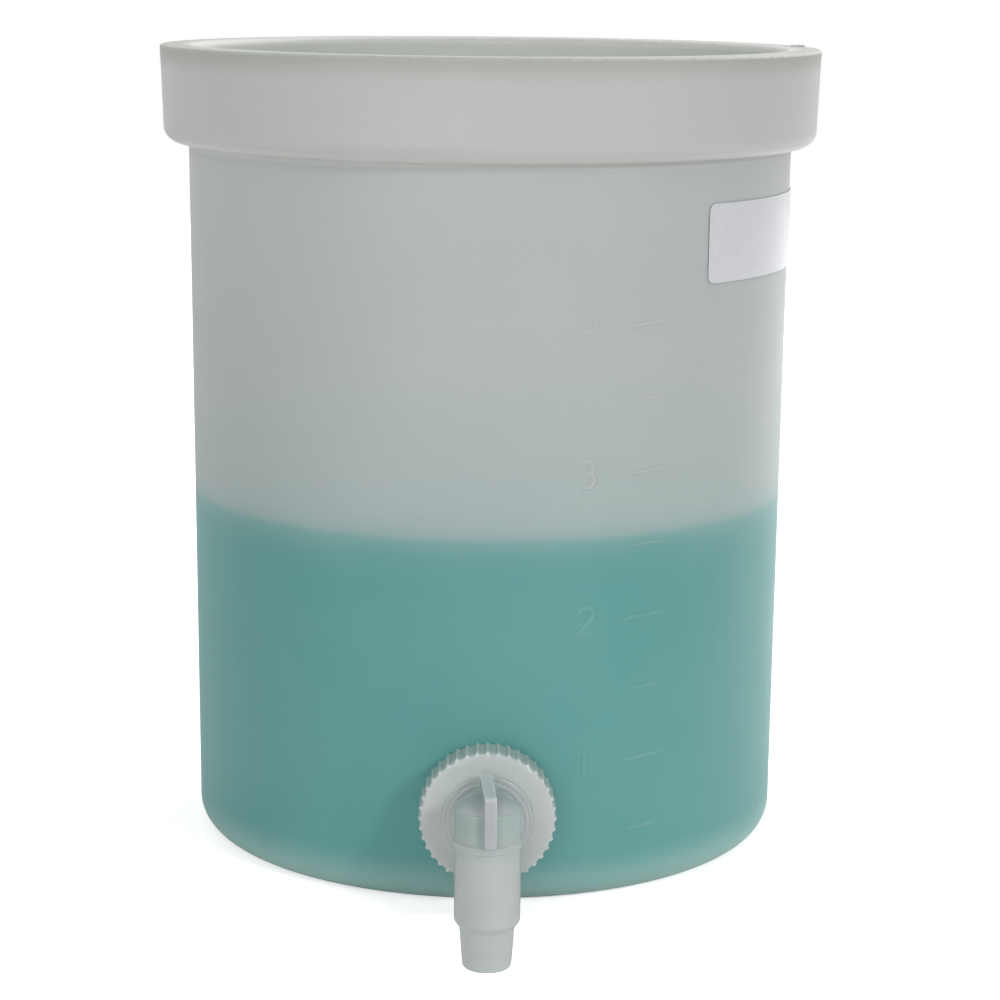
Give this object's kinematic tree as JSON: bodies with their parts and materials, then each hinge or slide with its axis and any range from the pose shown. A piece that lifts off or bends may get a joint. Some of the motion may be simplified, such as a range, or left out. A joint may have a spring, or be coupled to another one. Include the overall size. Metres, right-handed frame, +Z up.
{
  "type": "storage drum",
  "caption": "Open-top tapered plastic drum with a thick rim band, volume marks up the wall and a quarter-turn plug spigot clamped through the wall near the base.",
  "frame": {"origin": "centre of the drum's underside", "axes": "+Z up along the drum's axis, -Y out along the spigot, +X to the right when the spigot faces the viewer"},
  "size_m": [0.3084, 0.3493, 0.3882],
  "materials": {
    "drum_plastic": "translucent natural polyethylene, satin",
    "label_film": "plain film sticker",
    "spigot_plastic": "translucent natural polypropylene, satin",
    "nut_plastic": "translucent natural polypropylene, satin",
    "plug_plastic": "translucent natural polypropylene, satin",
    "seal_rubber": "black moulded rubber"
  },
  "bodies": {
    "drum": {"drum_shell": "drum_plastic", "blank_label": "label_film", "bulkhead_bush": "spigot_plastic", "inner_gasket": "seal_rubber", "saddle_washer": "spigot_plastic", "ring_nut": "nut_plastic", "spigot_seal": "seal_rubber", "spigot_body": "spigot_plastic"},
    "handle": {"spigot_plug": "plug_plastic", "plug_o_rings": "seal_rubber"}
  },
  "joints": [
    {"name": "handle_turn", "type": "hinge", "parent": "drum", "child": "handle", "pos_m": [0, -0.17702, 0.0463], "axis": [0, 0, 1], "range_deg": [-3.5, 86.5]}
  ]
}
